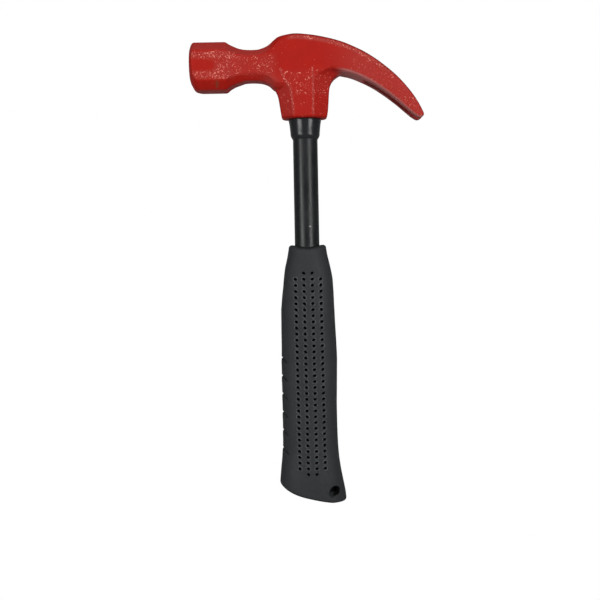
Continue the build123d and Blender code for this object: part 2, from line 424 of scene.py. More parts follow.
# distance behind the striking face, and how much wider than the face the turned bulge is there
BULGE_BEHIND = [0, 0.6, 1.2, 2.2, 3.4, 4.5, 6.0, 9.0, 80.0]
BULGE_WIDER = [0, 2.0, 3.2, 5.1, 6.8, 7.6, 8.6, 12.0, 60.0]


def head_bar():
    """Poll, neck and cheeks: a corner-cut rectangle carried along X.

    Its top, bottom, half width and corner change with x by smooth curves. Near the striking face a turned
    bulge, whose centre is level with the face's, rounds the corners down to the round face. The two radii
    a and b are joined softly, by (a^-n + b^-n)^(-1/n).
    """
    p = bpy.context.scene.hammer_head
    knots = [
        -69.3, -47.8, -44.7, -41.7, -38.7, -35.7, -32.0, -28.5, -25.0, -21.5, -18.0, -15.5, -11.0, -5.0, 5.0
    ]
    rows = [
        # top, bottom, half width, corner
        (278.6, 249.3, 13.8, 5.6),
        (278.6, 249.3, 13.8, 5.6),
        (276.9, 251.4, 13.0, 5.2),
        (275.5, 252.9, 12.2, 4.8),
        (274.4, 253.9, 11.5, 4.4),
        (273.9, 254.8, 10.9, 4.1),
        (273.7, 255.0, 10.6, 4.0),
        (273.8, 254.9, 10.7, 4.0),
        (274.6, 254.4, 11.0, 4.0),
        (276.2, 253.0, 11.7, 4.2),
        (279.1, 250.1, 12.4, 4.0),
        (280.8, 249.6, 12.9, 3.4),
        (281.8, 251.0, 13.2, 2.2),
        (282.4, 255.0, 13.2, 1.8),
        (281.4, 257.0, 13.2, 1.8),
    ]
    near_face = POLL_ROUNDING * np.linspace(0, 1, 25) ** 1.6 + p.face_x
    x = np.concatenate([near_face, np.linspace(-63.0, 5.0, 137)])
    top, bottom, half_width, corner = table_through(x, knots, rows).T
    normals, reach = octagon_planes(half_width, (top - bottom) / 2, corner)
    angles = angles_round(ROUND)
    radius = soft_outline(angles, normals, reach, CRISP)
    middle = (top + bottom) / 2
    lift = (p.face_z - middle)[:, None]
    bulge = (p.face_radius + smooth_through(x - p.face_x, BULGE_BEHIND, BULGE_WIDER))[:, None]
    # from the bar's centre to the circle of the bulge, whose centre is lifted above it
    to_bulge = lift * np.sin(angles) + np.sqrt(bulge**2 - (lift * np.cos(angles)) ** 2)
    radius = (radius**-BULGE_CRISP + to_bulge**-BULGE_CRISP) ** (-1 / BULGE_CRISP)
    y = radius * np.cos(angles)
    z = middle[:, None] + radius * np.sin(angles)
    return np.stack([np.repeat(x[:, None], ROUND, axis=1), y, z], axis=-1)


# (x, z) along the claw's upper and lower outline, from inside the cheeks to the tips
CROWN = [
    (-10.0, 281.9), (-5.0, 282.45), (0.7, 282.0), (6.6, 281.2), (12.6, 279.95), (18.6, 278.4), (24.6, 276.4),
    (30.5, 273.8), (36.5, 270.8), (42.4, 267.1), (48.3, 262.7), (54.4, 257.5), (60.4, 251.2), (66.3, 243.5),
    (69.5, 238.1), (CLAW_TIP_X, 232.2),
]
UNDER = [
    (-10.0, 258.4), (0.0, 260.4), (9.0, 261.4), (16.0, 260.4), (22.6, 259.1), (27.5, 258.0), (35.5, 254.7),
    (42.4, 251.0), (49.0, 246.5), (57.0, 240.2), (62.0, 235.8), (65.8, 232.6), (69.2, 230.5),
]
TIP_FROM = 0.985  # share of the claw's length at which its tips start to round


def claw_body():
    """The claw in one piece: a corner-cut rectangle carried from the cheeks to the tips.

    At each step it reaches from a point on the underside curve to a point on the crown curve, and its half
    width narrows evenly. The last few steps shrink on a quarter circle, which rounds the tips.
    """
    quarter = np.linspace(0, 1, 9)[1:] * math.pi / 2
    t = np.concatenate([np.linspace(0, TIP_FROM, 160), 1 - (1 - TIP_FROM) * np.cos(quarter)])
    crown = path_through(t, CROWN)
    under = path_through(t, UNDER)
    centre = (crown + under) / 2
    half = (crown - under) / 2
    height = np.linalg.norm(half, axis=1)
    width = smooth_through(centre[:, 0], [-10, 16, 45, 71], [13.2, 13.2, 11.8, 10.4])
    late = np.clip((t - TIP_FROM) / (1 - TIP_FROM), 0, 1)
    shrink = np.sqrt(1 - (late * 0.97) ** 2)
    edge = smooth_through(t, [0, 0.3, 1.0], [1.8, 1.6, 0.9])
    angles = angles_round(ROUND)
    normals, reach = octagon_planes(width, height, np.minimum(edge, height * 0.8))
    radius = soft_outline(angles, normals, reach, CRISP)
    rise = radius * np.sin(angles) / height[:, None] * (0.45 + 0.55 * shrink)[:, None]
    y = radius * np.cos(angles) * (1 - (1 - shrink)[:, None] * 0.1)
    x = centre[:, :1] + rise * half[:, :1]
    z = centre[:, 1:] + rise * half[:, 1:]
    return np.stack([x, y, z], axis=-1)


SOCKET_TOP = 267.0
SOCKET_END_FLAT = 6.2  # half width of the flat ends of the socket, between its slanting corners
SOCKET_ROUNDING = 1.8  # radius of the socket's lower rim


def flat_side(normal_x, normal_y, x, y):
    """Unit normals of flat sides that pass through (x, y), and their distances from the axis, n . (x, y)."""
    normal = np.stack([normal_x, normal_y], axis=1)
    length = np.linalg.norm(normal, axis=1)
    reach = (normal[:, 0] * x + normal[:, 1] * y) / length
    return normal / length[:, None], reach


def eye_boss():
    """The socket: a block with broad slanting corners carried up Z, spreading into the neck and the claw.

    Its lower rim is rounded by a quarter circle.
    """
    p = bpy.context.scene.hammer_head
    knots = [231.8, 236.3, 240.3, 246.1, 248.7, 251.0, 253.3, 255.4, 257.2, 259.0, 261.0, 267.0]
    rows = [
        # end towards the face, end towards the claw, half width, front flat from and to
        (-13.9, 13.4, 12.6, -6.8, 5.0),
        (-14.6, 14.1, 12.8, -6.9, 5.0),
        (-15.2, 14.45, 12.95, -7.2, 5.1),
        (-16.2, 14.85, 13.1, -7.7, 5.2),
        (-17.2, 15.1, 13.15, -8.4, 5.3),
        (-18.6, 15.5, 13.2, -9.6, 5.3),
        (-20.6, 16.3, 13.25, -10.9, 5.4),
        (-22.4, 17.7, 13.25, -12.2, 5.8),
        (-22.8, 19.8, 13.25, -13.2, 7.0),
        (-22.4, 22.6, 13.2, -14.0, 10.0),
        (-21.5, 24.0, 13.1, -14.4, 15.0),
        (-19.0, 24.0, 13.0, -14.6, 18.0),
    ]
    z = np.linspace(p.eye_bottom, SOCKET_TOP, 100)
    back, front, half, flat_from, flat_to = table_through(z, knots, rows).T
    one, zero = np.ones(len(z)), np.zeros(len(z))
    lead, lead_reach = flat_side(half - SOCKET_END_FLAT, front - flat_to, flat_to, half)
    trail, trail_reach = flat_side(SOCKET_END_FLAT - half, flat_from - back, flat_from, half)
    mirror = [1, -1]
    sides = [
        ((one, zero), front),
        (lead.T, lead_reach),
        ((zero, one), half),
        (trail.T, trail_reach),
        ((-one, zero), -back),
        ((trail * mirror).T, trail_reach),
        ((zero, -one), half),
        ((lead * mirror).T, lead_reach),
    ]
    normals = np.stack([np.stack(list(direction), axis=1) for direction, _ in sides], axis=1)
    reach = np.stack([distance for _, distance in sides], axis=1)
    angles = angles_round(ROUND)
    radius = soft_outline(angles, normals, reach, 60.0)
    low = np.clip((z - p.eye_bottom) / SOCKET_ROUNDING, 0, 1)
    inset = SOCKET_ROUNDING * (1 - np.sqrt(1 - (1 - low) ** 2))
    radius = radius - inset[:, None]
    x = radius * np.cos(angles)
    y = radius * np.sin(angles)
    return np.stack([x, y, np.repeat(z[:, None], ROUND, axis=1)], axis=-1)


def nail_slot_cutter():
    """The nail slot as a prism along Z: a V that runs out past the tips from a half circle at its root."""
    p = bpy.context.scene.hammer_head
    past_tips = 78.0
    low_end, high_end = 215.0, 295.0
    bend = np.linspace(math.pi / 2, 3 * math.pi / 2, 17)
    root = np.stack([np.cos(bend), np.sin(bend)], axis=1) * p.slot_root_radius + [p.slot_root_x, 0]
    outline = np.concatenate([[(past_tips, -p.slot_mouth), (past_tips, p.slot_mouth)], root])
    low = np.concatenate([outline, np.full((len(outline), 1), low_end)], axis=1)
    high = np.concatenate([outline, np.full((len(outline), 1), high_end)], axis=1)
    return skin(np.stack([low, high]))


POLL_AXIS = 264.0
# where the ridge between the socket's side and its slanting corner runs, as x at each height
RIDGE_HEIGHTS = [233, 240, 246, 249, 253, 257, 261]
RIDGE_X = [-6.8, -7.2, -7.7, -8.5, -10.8, -13.0, -14.4]


def store_finish(head):
    """Keeps, at each point of the head, its grains and painted glints, painted sheen and rub, as a colour
    attribute.

    Each number is a product of soft ranges along x, y and z. The fourth is above zero for a painted
    reflection of the floor, which pales the paint, and below zero for painted shade, which darkens it.
    """
    mesh = head.data
    x, y, z = point_values(mesh.vertices, "co") / MM
    normal = point_values(mesh.vertex_normals, "vector")
    across = np.abs(y)
    on_side = above(np.abs(normal[1]), 0.55, 0.3)
    crown_x, crown_z = np.array(CROWN).T
    below_crown = np.interp(x, crown_x, crown_z) - z

    # grains, which carry painted glints: on the poll's sides but for a smooth patch, on neck, socket and
    # claw, and along ridges
    off_axis = np.abs(z - POLL_AXIS)
    patch_edge = off_axis + 0.035 * np.maximum(x + 60, 0) ** 2
    smooth_patch = between(x, -72, -54.0, 1.5) * between(patch_edge, -9, 3.2, 1.2)
    poll = between(x, -68.6, -41, 2.5) * between(z, 255.0, 272.3, 1.4) * (1 - smooth_patch)
    poll *= 0.55 + 0.45 * between(off_axis, 4.0, 8.0, 1.5) + 0.3 * between(x, -54, -44, 3)
    neck = between(x, -44, -17, 6) * between(z, 256.5, 270, 3) * 0.62
    face_ridge = bell(x - np.interp(z, RIDGE_HEIGHTS, RIDGE_X), 0.7)
    claw_ridge = bell(x - 5.15, 0.6)
    ridge = np.maximum(face_ridge, claw_ridge) * between(z, 233.5, 261.5, 1.0)
    bevel = between(x, -16, -7.4, 1.2) * between(z, 231, 252, 3) * 0.45
    socket = between(x, -13, 19, 4) * between(z, 246, 260, 3) * 0.58
    socket = socket + between(z, 228, 247, 3) * between(x, -8, 17, 3) * 0.3
    crest = between(below_crown, 1.2, 3.8, 1.0) * between(x, -9, 52, 5) * 0.85
    claw = between(x, 26, 90, 16) * 0.42
    grains = np.maximum.reduce([poll, neck, socket, bevel, crest, claw, ridge * 1.2])
    grain_and_glint = np.clip(grains * on_side + 0.04, 0, 1)

    # painted sheen: on chamfers and ridges, under the neck, and thinner over the grain-covered parts
    chamfers = above(normal[2], 0.25, 0.3) * between(x, -72, -20, 4) * 0.8
    under_neck = np.exp(-(((x + 20.5) / 5.5) ** 2 + ((z - 253.5) / 4.0) ** 2)) * (across > 6)
    bottom = above(-normal[2], 0.8, 0.15) * between(x, -66, -16, 6)
    side_haze = np.maximum.reduce([bevel, ridge * 0.8, crest * 0.9, neck * 0.3, poll * 0.25]) * on_side
    sheen_share = np.maximum.reduce([chamfers, under_neck, bottom, side_haze, between(x, 22, 110, 30) * 0.5])

    # one rub on the near side of the poll's lower bevel
    rubbed = between(np.hypot((x + 52.3) / 1.2, (z - 252.6) / 2.6), -1, 0.8, 0.8) * (y < 0) * 0.8

    # painted floor reflection under the claw, painted shade in the nail slot and along the upper edge of
    # cheeks and claw
    under = above(-normal[2], 0.25, 0.25)
    along_slot = between(x, 36, 90, 4) * between(across, -1, 6.6, 1.2)
    pale = under * between(x, 22, 90, 8) * (1 - along_slot)
    # painted shade on the slot's walls and under it, and along the crown
    slot_walls = between(x, 35.5, 90, 2) * between(across, -1, 5.3, 0.4) * above(np.abs(normal[1]), 0.6, 0.2)
    slot = np.maximum(slot_walls, under * along_slot * 0.8)
    crown_shade = between(below_crown, -5, 0.8, 0.5) * between(x, -9, 90, 4) * between(across, 9.0, 20, 0.8)

    colours = np.stack([grain_and_glint, sheen_share, rubbed, pale - slot - crown_shade * 0.65], axis=1)
    layer = mesh.color_attributes.new("finish", "FLOAT_COLOR", "POINT")
    layer.data.foreach_set("color", colours.ravel())


def make_head():
    """The head: three skins grown together on a grid and relaxed, then cut by the nail slot and the eye."""
    p = bpy.context.scene.hammer_head
    shells = join_skins([skin(head_bar()), skin(claw_body()), skin(eye_boss())])
    head = new_object("hammer_head", shells)
    remesh = head.modifiers.new("Skin", "REMESH")
    remesh.mode = "VOXEL"
    remesh.voxel_size = p.voxel * MM
    relax = head.modifiers.new("Forged rounding", "SMOOTH")
    relax.factor = 0.5
    relax.iterations = p.soften
    settle(head)
    carve(head, nail_slot_cutter(), "nail_slot_cutter")
    carve(head, skin(turned([(EYE_RADIUS, 225.0), (EYE_RADIUS, 300.0)])), "eye_bore_cutter")
    shade(head, 40)
    store_finish(head)
    return head


# ---------------------------------------------------------------- handle

def make_tube():
    """The steel tube, turned from a closed profile: bore, blunt lower rim, outside and blunt upper rim."""
    p = bpy.context.scene.hammer_handle
    inner = p.tube_radius - p.tube_wall
    low, high = p.tube_bottom, p.tube_top
    blunt = 0.4
    profile = [(inner, low), (p.tube_radius - blunt, low), (p.tube_radius, low + blunt)]
    profile += [(p.tube_radius, z) for z in np.linspace(low + 2, high - 2, 65)]
    profile += [(p.tube_radius, high - blunt), (p.tube_radius - blunt, high), (inner, high)]
    return shade(new_object("handle_tube_paint", ring_skin(turned(profile))), 35)


def make_collar():
    """The moulded collar, turned from a closed profile: a flared skirt, and a lining in the eye."""
    profile = [
        (TUBE_RADIUS, COLLAR_BOTTOM),
        (7.75, COLLAR_BOTTOM),
        (8.0, 219.9),
        (8.5, 220.9),
        (8.75, 221.4),
        (8.87, 222.1),
        (9.0, 224.0),
        (9.2, 226.2),
        (9.5, 228.6),
        (9.8, 230.3),
        (9.93, 231.1),
        (9.9, 231.5),
        (9.7, EYE_BOTTOM),
        (EYE_RADIUS, EYE_BOTTOM),
        (EYE_RADIUS, COLLAR_TOP),
        (TUBE_RADIUS, COLLAR_TOP),
    ]
    return shade(new_object("eye_collar", ring_skin(turned(profile))), 50)


def make_expander():
    """The steel plug in the tube's upper end, turned: a tapered lead, a straight body and a rounded top."""
    top = EXPANDER_TOP
    profile = [
        (BORE_RADIUS - 1.2, EXPANDER_BOTTOM),
        (BORE_RADIUS, EXPANDER_BOTTOM + 5.0),
        (BORE_RADIUS, top - 0.8),
        (BORE_RADIUS - 0.25, top - 0.25),
        (BORE_RADIUS - 0.8, top),
    ]
    return shade(new_object("tube_expander", skin(turned(profile))), 35)


def make_end_plug():
    """The plastic plug in the tube's lower end, turned: a flange under the tube and a spigot in it."""
    profile = [
        (TUBE_RADIUS - 0.4, PLUG_BOTTOM),
        (TUBE_RADIUS, PLUG_BOTTOM + 0.4),
        (TUBE_RADIUS, TUBE_BOTTOM),
        (BORE_RADIUS, TUBE_BOTTOM),
        (BORE_RADIUS, PLUG_TOP - 2.0),
        (BORE_RADIUS - 1.0, PLUG_TOP),
    ]
    return shade(new_object("tube_bottom_plug", skin(turned(profile))), 35)


# ---------------------------------------------------------------- grip

def grip_edges(z):
    """Edge towards the face, edge towards the claw and half thickness of the grip at each height."""
    knots = [
        -6.0, 4.0, 9.4, 13.0, 20.4, 27.7, 35.0, 46.0, 57.0, 68.0, 79.0, 86.0, 93.5, 101.0, 108.0, 115.5,
        119.0, 123.0, 126.5, 130.0, 134.0, 137.4, 141.0, 144.7, 148.5, 155.2
    ]
    rows = [
        (-20.0, 21.6, 14.2),
        (-19.5, 20.9, 14.0),
        (-19.2, 20.0, 13.8),
        (-18.9, 19.3, 13.7),
        (-18.2, 18.0, 13.2),
        (-17.4, 17.1, 12.9),
        (-16.9, 16.65, 12.7),
        (-16.8, 16.4, 12.6),
        (-16.8, 16.35, 12.6),
        (-16.85, 16.6, 12.6),
        (-16.9, 16.85, 12.6),
        (-16.85, 17.0, 12.6),
        (-16.7, 16.8, 12.6),
        (-16.7, 16.5, 12.5),
        (-16.65, 16.2, 12.4),
        (-16.6, 15.95, 12.2),
        (-16.3, 15.8, 12.0),
        (-15.95, 15.7, 11.8),
        (-15.55, 15.6, 11.6),
        (-15.1, 15.4, 11.4),
        (-14.7, 15.2, 11.2),
        (-14.3, 14.7, 11.0),
        (-13.8, 14.0, 10.8),
        (-12.95, 13.2, 10.6),
        (-12.1, 12.3, 10.3),
        (-11.0, 11.25, 9.9),
    ]
    return table_through(z, knots, rows).T


def butt_height(x):
    """Height of the slanting, slightly bulging end of the grip below each x."""
    knots = [-30, -19.2, -15.3, -10.5, -5.65, -0.85, 4.0, 8.9, 13.7, 18.6, 21.0, 30]
    return smooth_through(x, knots, [17.5, 10.4, 7.9, 5.6, 4.0, 2.8, 1.7, 0.7, 0.03, 0.1, 0.35, 4.0])


NOTCH_LEVELS = 32.3 + 10.95 * np.arange(6)
FINGER_EDGE = 16.9  # how far the straight part of the finger side stands from the axis


def notch_push(x, z):
    """How far the surface moves inwards at each point of the finger side.

    Each notch is a narrow groove whose level falls by as much as x grows, deepest in its middle. It fades
    out about 3.5 mm from the grip's edge. Under it the surface swells a little, like overlapping scales.
    """
    p = bpy.context.scene.hammer_grip
    from_edge = np.clip(x + FINGER_EDGE, 0, None)
    fade = np.clip((3.6 - from_edge) / 1.4, 0, 1)
    fade = fade * fade * (3 - 2 * fade) * np.clip(0.4 + from_edge / 1.6, 0, 1)
    gap = (z + from_edge * 0.95)[..., None] - NOTCH_LEVELS
    groove = bell(gap, 0.55).sum(axis=-1)
    swell = bell(gap + 2.6, 2.2).sum(axis=-1)
    return fade * (p.notch_depth * groove - 0.22 * swell)


SQUARENESS = 2.25  # power of the grip's squared ovals; 2 would be an ellipse
GRIP_ROUND = 176  # points round each section of the grip
RIM_DIP = 2.1  # how much lower the rim of the shoulder is at the broad sides


def oval(height, turn):
    """Points round a squared oval at each height: its radius at an angle is (|cos|^n + |sin|^n)^(-1/n)."""
    back, front, half = grip_edges(height)
    c, s = np.cos(turn), np.sin(turn)
    unit = (np.abs(c) ** SQUARENESS + np.abs(s) ** SQUARENESS) ** (-1 / SQUARENESS)
    return (front + back) / 2 + (front - back) / 2 * c * unit, half * s * unit


def broad_side(x, z):
    """How far the broad sides stand from the middle plane: half thickness times (1 - share^n)^(1/n).

    share runs from 0 midway between the grip's edges to 1 on them.
    """
    back, front, half = grip_edges(z)
    share = np.clip(np.abs(x - (front + back) / 2) / ((front - back) / 2), 0, 1)
    return half * (1 - share**SQUARENESS) ** (1 / SQUARENESS)


def grip_shoulder(turn, shoulder, bend, dip):
    """Rings of the rounded shoulder, from its inner rim outwards and down, on a quarter circle."""
    rings = []
    for roll_on in np.linspace(math.pi / 2, 0, 9):
        x, y = oval(np.full_like(turn, shoulder), turn)
        shrink = 1 - bend * (1 - math.cos(roll_on)) / np.hypot(x, y)
        rings.append(np.stack([x * shrink, y * shrink, shoulder + bend * math.sin(roll_on) - dip], axis=-1))
    return rings


def grip_body(turn, shoulder, butt_from, dip):
    """Rings of squared ovals from the shoulder down, pushed in by the finger notches."""
    coarse, fine = 0.9, 0.34
    notches_from = 92.0
    dip_from = 140.0
    upper = np.arange(shoulder - 0.8, notches_from, -coarse)
    lower = np.arange(notches_from - 0.4, butt_from, -fine)
    heights = np.concatenate([upper, lower, [butt_from]])
    rings = []
    for height in heights:
        level = height - dip * np.clip((height - dip_from) / (shoulder - dip_from), 0, 1)
        x, y = oval(level, turn)
        shrink = 1 - notch_push(x, level) / np.hypot(x, y)
        rings.append(np.stack([x * shrink, y * shrink, level], axis=-1))
    return rings


def grip_butt(turn, butt_from):
    """Rings that sink evenly to the slanting end, roll over its rim on a quarter circle and close it."""
    rings = []
    first_x, first_y = oval(np.full_like(turn, butt_from), turn)
    roll = 1.7 - 0.9 * np.clip((first_x - 6.0) / 10.0, 0, 1)
    for k in range(1, 25):
        x, y = first_x, first_y
        for _ in range(3):
            height = butt_from + (butt_height(x) + roll - butt_from) * k / 24
            x, y = oval(height, turn)
        rings.append(np.stack([x, y, height], axis=-1))
    middle = np.array([x.mean(), 0.0])
    radial = np.stack([x, y], axis=-1) - middle
    reach = np.linalg.norm(radial, axis=1)
    for k in range(1, 12):
        turn_in = k / 11 * math.pi / 2
        scale = 1 - roll * (1 - math.cos(turn_in)) / reach
        flat = middle + radial * scale[:, None]
        rings.append(np.column_stack([flat, butt_height(flat[:, 0]) + roll * (1 - math.sin(turn_in))]))
    rim = flat - middle
    for share in (0.85, 0.65, 0.45, 0.25, 0.1):
        flat = middle + rim * share
        rings.append(np.column_stack([flat, butt_height(flat[:, 0])]))
    return rings


def grip_skin():
    """Outer skin of the grip; the shoulder's rim dips towards the broad sides, by the sine squared."""
    p = bpy.context.scene.hammer_grip
    turn = angles_round(GRIP_ROUND)
    bend = 1.9
    butt_from = 24.0
    shoulder = p.top - bend
    dip = RIM_DIP * np.sin(turn) ** 2
    rings = grip_shoulder(turn, shoulder, bend, dip)
    rings += grip_body(turn, shoulder, butt_from, dip)
    rings += grip_butt(turn, butt_from)
    return skin(np.stack(rings)[::-1])


AIR_HOLE_BOTTOM = 21.2  # height of the lowest row of an outer column
AIR_HOLE_STEP = 3.41  # from the lowest row to the next
AIR_HOLE_GROWTH = 0.0087  # by which each step is longer than the one below
AIR_HOLE_LEANS = (-42, -38, 30, 42)  # degrees by which each column's oval holes are turned
COLUMNS_MIDDLE = 0.8  # x midway between the columns at the lowest row
COLUMNS_LEAN = 0.0065  # by which the columns' middle moves towards the face for each mm up


def hole_grid(x, z):
    """Column and row numbers, with fractions, of a point on the grip's broad sides.

    Whole numbers are hole centres. The steps between rows grow slowly upwards, so the row number n is a root
    of: z = bottom + step n + growth n (n - 1) / 2.
    """
    climb = z - AIR_HOLE_BOTTOM
    column = (x - COLUMNS_MIDDLE + COLUMNS_LEAN * climb) / bpy.context.scene.hammer_grip.column_pitch + 1.5
    a = AIR_HOLE_GROWTH / 2
    b = AIR_HOLE_STEP - a
    row = (np.sqrt(b * b + 4 * a * climb) - b) / (2 * a)
    return column, row


def air_hole_cutters():
    """Blind drills with flared mouths, in four columns on both broad sides.

    The middle two columns have one more hole at each end. Each hole is a little oval and turned.
    """
    p = bpy.context.scene.hammer_grip
    count = 14
    turn = angles_round(count)
    r = p.hole_radius
    # (radius, distance outwards from the surface)
    profile = [(r * 0.9, -2.2), (r, -0.3), (r + 0.08, -0.1), (r + 0.25, 0.15), (r + 0.25, 1.0)]
    shells = []
    for column, lean in enumerate(AIR_HOLE_LEANS):
        extra = 1 if column in (1, 2) else 0
        row = np.arange(-extra, p.rows + extra)
        climb = row * AIR_HOLE_STEP + row * (row - 1) / 2 * AIR_HOLE_GROWTH
        rise = AIR_HOLE_BOTTOM + climb
        across = COLUMNS_MIDDLE - COLUMNS_LEAN * climb + (column - 1.5) * p.column_pitch
        along, up = tilted_oval(1.2, 0.86, math.radians(lean), turn)
        for x, y, z in zip(across, broad_side(across, rise), rise):
            for sign in (1, -1):
                rings = [
                    np.stack([x + w * along, np.full(count, sign * (y + out)), z + w * up], axis=-1)
                    for w, out in profile
                ]
                shells.append(skin(np.stack(rings[::-sign])))
    return join_skins(shells)


HANG_HOLE_X = 13.9
HANG_HOLE_Z = 7.3
HANG_HOLE_LEAN = 0.95  # radians


def hanging_hole_cutter():
    """Cord hole through the butt's corner: narrow in the middle, with a leaning oval well on each side."""
    count = 48
    along, up = tilted_oval(1.12, 0.86, HANG_HOLE_LEAN, angles_round(count))
    # (radius, distance from the grip's middle plane) from the core to beyond the surface
    half = [(1.25, 6.2), (2.9, 7.4), (2.9, 10.5), (6.9, 18.5)]
    levels = half[::-1] + [(r, -y) for r, y in half]
    rings = [
        np.stack([HANG_HOLE_X + r * along, np.full(count, y), HANG_HOLE_Z + r * up], axis=-1)
        for r, y in levels
    ]
    return skin(np.stack(rings))


def store_hole_grid(grip):
    """Keeps each point's column and row numbers, and how deep in a hole it lies, which sets painted shade, as
    an attribute.
    """
    mesh = grip.data
    x, y, z = point_values(mesh.vertices, "co") / MM
    column, row = hole_grid(x, np.maximum(z, 2.0))
    below = broad_side(x, z) - np.abs(y)
    in_air_hole = between(below, 0.7, 2.6, 0.3) * between(column, -0.3, 3.3, 0.05) * between(z, 15, 142, 1)
    from_cord_hole = np.hypot(x - HANG_HOLE_X, z - HANG_HOLE_Z)
    in_cord_hole = between(from_cord_hole, -1, 3.1, 0.2) * between(np.abs(y), -1, 10.4, 0.4)
    deep = np.maximum(in_air_hole, in_cord_hole)
    layer = mesh.attributes.new("air_holes", "FLOAT_VECTOR", "POINT")
    layer.data.foreach_set("vector", np.stack([column, row, deep], axis=1).ravel())


def make_grip():
    """The grip: its skin, cut by the tube's blind bore, the hanging hole and the air holes."""
    grip = new_object("rubber_grip", grip_skin())
    bore = turned([(TUBE_RADIUS, PLUG_BOTTOM), (TUBE_RADIUS, 170.0)])
    carve(grip, skin(bore), "tube_bore_cutter")
    carve(grip, hanging_hole_cutter(), "hanging_hole_cutter")
    carve(grip, air_hole_cutters(), "air_hole_cutter")
    store_hole_grid(grip)
    return shade(grip, 42)


# ---------------------------------------------------------------- materials

def fresh_material(name):
    """New material, with its nodes and links."""
    material = bpy.data.materials.new(name)
    material.use_nodes = True
    return material, material.node_tree.nodes, material.node_tree.links


def new_group(name, inputs, outputs):
    """Empty shader node group with named sockets; inputs is a list of (name, kind, default)."""
    tree = bpy.data.node_groups.new(name, "ShaderNodeTree")
    for label, kind, default in inputs:
        socket = tree.interface.new_socket(label, in_out="INPUT", socket_type="NodeSocket" + kind)
        if default is not None:
            socket.default_value = default
    for label, kind in outputs:
        tree.interface.new_socket(label, in_out="OUTPUT", socket_type="NodeSocket" + kind)
    return tree, tree.nodes.new("NodeGroupInput"), tree.nodes.new("NodeGroupOutput")


def feed(tree, socket, value):
    """Links a socket to another, or sets it to a number."""
    if isinstance(value, bpy.types.NodeSocket):
        tree.links.new(value, socket)
    else:
        socket.default_value = value


def calc(tree, operation, *values, clamp=False):
    """Math node of up to three values."""
    node = tree.nodes.new("ShaderNodeMath")
    node.operation = operation
    node.use_clamp = clamp
    for socket, value in zip(node.inputs, values):
        feed(tree, socket, value)
    return node.outputs[0]


def spread(tree, value, low, high, start=0.0, end=1.0):
    """Smooth step of a value from low..high to start..end."""
    node = tree.nodes.new("ShaderNodeMapRange")
    node.interpolation_type = "SMOOTHSTEP"
    for socket, given in zip(node.inputs, (value, low, high, start, end)):
        feed(tree, socket, given)
    return node.outputs[0]


def blend(tree, factor, first, second):
    """Mix of two colours."""
    node = tree.nodes.new("ShaderNodeMix")
    node.data_type = "RGBA"
    feed(tree, node.inputs[0], factor)
    feed(tree, node.inputs[6], first)
    feed(tree, node.inputs[7], second)
    return node.outputs[2]


def noise(tree, vector, scale, detail=2.0, roughness=0.5):
    """Value of a noise texture, about 0.2 to 0.8."""
    node = tree.nodes.new("ShaderNodeTexNoise")
    for label, value in (("Vector", vector), ("Scale", scale), ("Detail", detail), ("Roughness", roughness)):
        feed(tree, node.inputs[label], value)
    return node.outputs[0]


def glint_grain_group():
    """Painted glints on grains: noise peaks in loose clusters; more cover lets more of each peak through.

    Sheen is a fine painted sheen.
    """
    inputs = [
        ("Vector", "Vector", None),
        ("Grain Scale", "Float", 900.0),
        ("Cover", "Float", 0.3),
        ("Softness", "Float", 0.08),
    ]
    tree, given, out = new_group("Grain glints", inputs, [("Mask", "Float"), ("Sheen", "Float")])
    vector, scale, cover, softness = (given.outputs[i] for i in range(4))
    islands = noise(tree, vector, scale, 1.0, 0.4)
    cluster = spread(tree, noise(tree, vector, 240.0, 2.0), 0.3, 0.7, 0.75, 1.2)
    level = calc(tree, "MULTIPLY", cover, cluster)
    threshold = calc(tree, "MULTIPLY_ADD", level, -0.195, 0.745)
    over = calc(tree, "SUBTRACT", islands, threshold)
    lit = calc(tree, "DIVIDE", over, softness, clamp=True)
    bright = spread(tree, noise(tree, vector, 410.0, 0.0), 0.3, 0.7, 0.35, 1.0)
    feed(tree, out.inputs[0], calc(tree, "MULTIPLY", lit, bright))
    feed(tree, out.inputs[1], calc(tree, "MULTIPLY", noise(tree, vector, 1500.0, 1.0), cover))
    return tree


def edge_group():
    """Edges where the surface bends outwards, broken up by noise: worn on the grip, painted glints on the
    head.
    """
    inputs = [
        ("Vector", "Vector", None),
        ("Bend From", "Float", 0.52),
        ("Bend To", "Float", 0.6),
        ("Break Up", "Float", 0.5),
    ]
    tree, given, out = new_group("Worn and glinting edges", inputs, [("Mask", "Float")])
    geometry = tree.nodes.new("ShaderNodeNewGeometry")
    bent = spread(tree, geometry.outputs["Pointiness"], given.outputs[1], given.outputs[2])
    patches = spread(tree, noise(tree, given.outputs[0], 520.0, 3.0, 0.65), given.outputs[3], 0.72)
    feed(tree, out.inputs[0], calc(tree, "MULTIPLY", bent, patches))
    return tree


def relief_group():
    """Fine uneven relief of sprayed paint or moulded rubber: two sizes of noise added up."""
    inputs = [
        ("Vector", "Vector", None),
        ("Coarse Scale", "Float", 300.0),
        ("Fine Scale", "Float", 1400.0),
        ("Fine Share", "Float", 0.5),
    ]
    tree, given, out = new_group("Surface relief", inputs, [("Height", "Float")])
    coarse = noise(tree, given.outputs[0], given.outputs[1], 2.0)
    fine = noise(tree, given.outputs[0], given.outputs[2], 2.0)
    feed(tree, out.inputs[0], calc(tree, "MULTIPLY_ADD", fine, given.outputs[3], coarse))
    return tree


def mottle_group():
    """Slow changes of tone from handling and dust, finer where the dust lies."""
    inputs = [("Vector", "Vector", None), ("Scale", "Float", 40.0), ("Dust", "Float", 0.5)]
    tree, given, out = new_group("Handling and dust", inputs, [("Tone", "Float"), ("Dust", "Float")])
    slow = noise(tree, given.outputs[0], given.outputs[1], 4.0, 0.6)
    specks = noise(tree, given.outputs[0], 900.0, 3.0, 0.7)
    feed(tree, out.inputs[0], spread(tree, slow, 0.3, 0.7))
    lying = spread(tree, specks, 0.6, 0.78)
    feed(tree, out.inputs[1], calc(tree, "MULTIPLY", lying, given.outputs[2]))
    return tree


